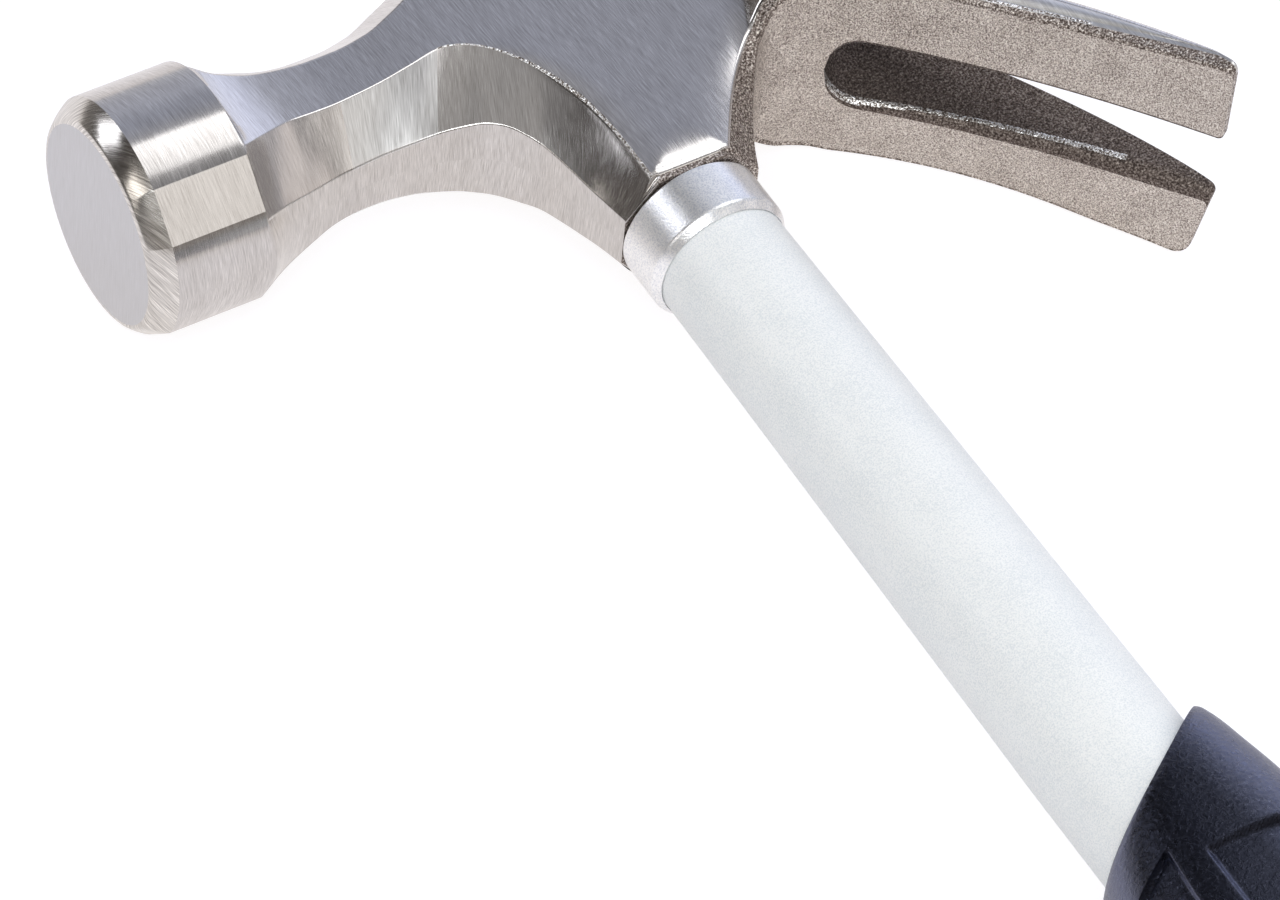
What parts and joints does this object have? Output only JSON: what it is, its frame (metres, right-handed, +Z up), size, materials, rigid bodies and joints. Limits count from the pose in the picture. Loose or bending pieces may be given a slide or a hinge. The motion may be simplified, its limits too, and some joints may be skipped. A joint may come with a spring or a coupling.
{
  "type": "curved claw hammer",
  "caption": "Curved claw hammer with a forged steel head, a tapered tubular steel handle, a collar and a black rubber grip, lying on its side.",
  "frame": {"origin": "middle of the hammer's footprint, on the surface that it lies on", "axes": "+X along the head towards the claw, +Y along the handle towards the head's crown, +Z up across the head"},
  "size_m": [0.1458, 0.3382, 0.0392],
  "materials": {
    "head_steel": "forged steel, belt ground on poll, neck and cheeks, blasted on the claw",
    "tube_paint": "silver metallic paint on a steel tube",
    "collar_paint": "silver metallic paint on a steel sleeve",
    "plug_steel": "plain turned steel",
    "plug_plastic": "moulded black plastic",
    "grip_rubber": "moulded black rubber with a fine leather grain"
  },
  "bodies": {
    "root": {"hammer_head": "head_steel", "shaft_tube": "tube_paint", "shaft_collar": "collar_paint", "eye_plug": "plug_steel", "tube_end_plug": "plug_plastic", "grip_sleeve": "grip_rubber"}
  },
  "joints": []
}
